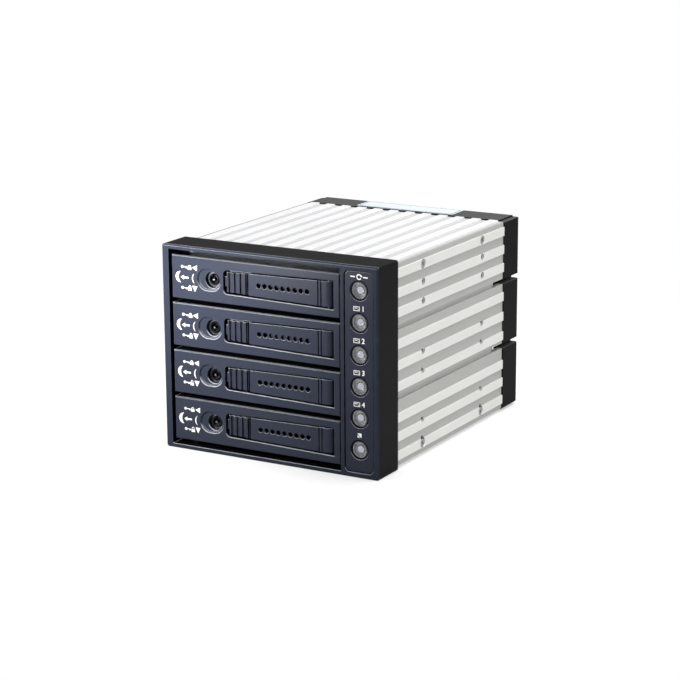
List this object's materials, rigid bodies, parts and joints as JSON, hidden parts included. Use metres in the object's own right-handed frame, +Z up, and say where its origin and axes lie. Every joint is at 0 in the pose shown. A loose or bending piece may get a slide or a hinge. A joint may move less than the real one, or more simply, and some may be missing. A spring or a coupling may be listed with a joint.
{
  "type": "hot swap drive cage",
  "caption": "Backplane cage that fills three computer bays: ribbed aluminium body, dark bezel with locking drive trays, a lamp column, a rear fan and cable sockets.",
  "frame": {"origin": "bottom centre of the whole cage: the plane of the bezel's bottom, halfway across and halfway from the front of the bezel to the rear of the cap", "axes": "+Z up, the bezel and trays face -Y, +X to the right seen from the front; trays pull out along -Y"},
  "size_m": [0.1484, 0.19, 0.127],
  "materials": {
    "bezel_plastic": "satin, dark blue-grey",
    "tray_plastic": "satin, dark blue-grey",
    "lever_plastic": "satin, dark blue-grey",
    "lamp_panel_plastic": "satin, dark blue-grey",
    "cap_plastic": "satin black",
    "tray_frame_plastic": "fine matt",
    "guide_plastic": "fine matt",
    "body_aluminium": "clear anodised, satin",
    "dark_screw": "black oxide",
    "screw_steel": "zinc plated",
    "pin_steel": "ground",
    "clear_lens": "clear, moulded acrylic",
    "led_body": "milky",
    "switch_black": "matt",
    "circuit_board": "green solder mask",
    "connector_black": "matt",
    "connector_white": "ivory",
    "contact_brass": "tinned brass",
    "fan_black": "matt",
    "guard_steel": "zinc plated",
    "lock_black": "dark chrome",
    "lock_core": "dark plated"
  },
  "bodies": {
    "cage": {"front_bezel": "bezel_plastic", "lamp_panel": "lamp_panel_plastic", "lamp_board": "circuit_board", "board_screws": "screw_steel", "drive_lenses": "clear_lens", "status_lens": "clear_lens", "lamp_leds": "led_body", "reset_switch": "switch_black", "buzzer": "switch_black", "top_panel": "body_aluminium", "bottom_panel": "body_aluminium", "left_side": "body_aluminium", "right_side": "body_aluminium", "housing_screws": "dark_screw", "left_guide": "guide_plastic", "right_guide": "guide_plastic", "backplane": "circuit_board", "backplane_screws": "screw_steel", "drive_sockets": "connector_black", "data_ports": "connector_black", "power_inlets": "connector_white", "power_pins": "contact_brass", "rear_cap": "cap_plastic", "cap_screws": "dark_screw", "fan_frame": "fan_black", "fan_guard": "guard_steel", "fan_screws": "dark_screw"},
    "reset_button": {"reset_button": "clear_lens"},
    "fan_rotor": {"fan_rotor": "fan_black"},
    "tray_1": {"tray_front_1": "tray_plastic", "tray_frame_1": "tray_frame_plastic", "hinge_pin_1": "pin_steel", "lock_barrel_1": "lock_black"},
    "lever_1": {"lever_1": "lever_plastic"},
    "latch_1": {"thumb_latch_1": "lever_plastic"},
    "plug_1": {"lock_plug_1": "lock_core"},
    "tray_2": {"tray_front_2": "tray_plastic", "tray_frame_2": "tray_frame_plastic", "hinge_pin_2": "pin_steel", "lock_barrel_2": "lock_black"},
    "lever_2": {"lever_2": "lever_plastic"},
    "latch_2": {"thumb_latch_2": "lever_plastic"},
    "plug_2": {"lock_plug_2": "lock_core"},
    "tray_3": {"tray_front_3": "tray_plastic", "tray_frame_3": "tray_frame_plastic", "hinge_pin_3": "pin_steel", "lock_barrel_3": "lock_black"},
    "lever_3": {"lever_3": "lever_plastic"},
    "latch_3": {"thumb_latch_3": "lever_plastic"},
    "plug_3": {"lock_plug_3": "lock_core"},
    "tray_4": {"tray_front_4": "tray_plastic", "tray_frame_4": "tray_frame_plastic", "hinge_pin_4": "pin_steel", "lock_barrel_4": "lock_black"},
    "lever_4": {"lever_4": "lever_plastic"},
    "latch_4": {"thumb_latch_4": "lever_plastic"},
    "plug_4": {"lock_plug_4": "lock_core"}
  },
  "joints": [
    {"name": "reset_press", "type": "slide", "parent": "cage", "child": "reset_button", "axis": [0, 1, 0], "range_m": [0, 0.0008], "stiffness_N_per_m": 400},
    {"name": "fan_spin", "type": "hinge", "parent": "cage", "child": "fan_rotor", "pos_m": [-0.02, 0, 0.06315], "axis": [0, 1, 0], "continuous": true},
    {"name": "tray_slide_1", "type": "slide", "parent": "cage", "child": "tray_1", "axis": [0, -1, 0], "range_m": [0, 0.17]},
    {"name": "lever_swing_1", "type": "hinge", "parent": "tray_1", "child": "lever_1", "pos_m": [0.0388, -0.0892, 0.0194], "axis": [0, 0, 1], "range_deg": [0, 80]},
    {"name": "latch_slide_1", "type": "slide", "parent": "lever_1", "child": "latch_1", "axis": [1, 0, 0], "range_m": [0, 0.0013], "stiffness_N_per_m": 300},
    {"name": "lock_turn_1", "type": "hinge", "parent": "tray_1", "child": "plug_1", "pos_m": [-0.0394, -0.089, 0.0194], "axis": [0, -1, 0], "range_deg": [0, 90]},
    {"name": "tray_slide_2", "type": "slide", "parent": "cage", "child": "tray_2", "axis": [0, -1, 0], "range_m": [0, 0.17]},
    {"name": "lever_swing_2", "type": "hinge", "parent": "tray_2", "child": "lever_2", "pos_m": [0.0388, -0.0892, 0.0488], "axis": [0, 0, 1], "range_deg": [0, 80]},
    {"name": "latch_slide_2", "type": "slide", "parent": "lever_2", "child": "latch_2", "axis": [1, 0, 0], "range_m": [0, 0.0013], "stiffness_N_per_m": 300},
    {"name": "lock_turn_2", "type": "hinge", "parent": "tray_2", "child": "plug_2", "pos_m": [-0.0394, -0.089, 0.0488], "axis": [0, -1, 0], "range_deg": [0, 90]},
    {"name": "tray_slide_3", "type": "slide", "parent": "cage", "child": "tray_3", "axis": [0, -1, 0], "range_m": [0, 0.17]},
    {"name": "lever_swing_3", "type": "hinge", "parent": "tray_3", "child": "lever_3", "pos_m": [0.0388, -0.0892, 0.0782], "axis": [0, 0, 1], "range_deg": [0, 80]},
    {"name": "latch_slide_3", "type": "slide", "parent": "lever_3", "child": "latch_3", "axis": [1, 0, 0], "range_m": [0, 0.0013], "stiffness_N_per_m": 300},
    {"name": "lock_turn_3", "type": "hinge", "parent": "tray_3", "child": "plug_3", "pos_m": [-0.0394, -0.089, 0.0782], "axis": [0, -1, 0], "range_deg": [0, 90]},
    {"name": "tray_slide_4", "type": "slide", "parent": "cage", "child": "tray_4", "axis": [0, -1, 0], "range_m": [0, 0.17]},
    {"name": "lever_swing_4", "type": "hinge", "parent": "tray_4", "child": "lever_4", "pos_m": [0.0388, -0.0892, 0.1076], "axis": [0, 0, 1], "range_deg": [0, 80]},
    {"name": "latch_slide_4", "type": "slide", "parent": "lever_4", "child": "latch_4", "axis": [1, 0, 0], "range_m": [0, 0.0013], "stiffness_N_per_m": 300},
    {"name": "lock_turn_4", "type": "hinge", "parent": "tray_4", "child": "plug_4", "pos_m": [-0.0394, -0.089, 0.1076], "axis": [0, -1, 0], "range_deg": [0, 90]}
  ]
}
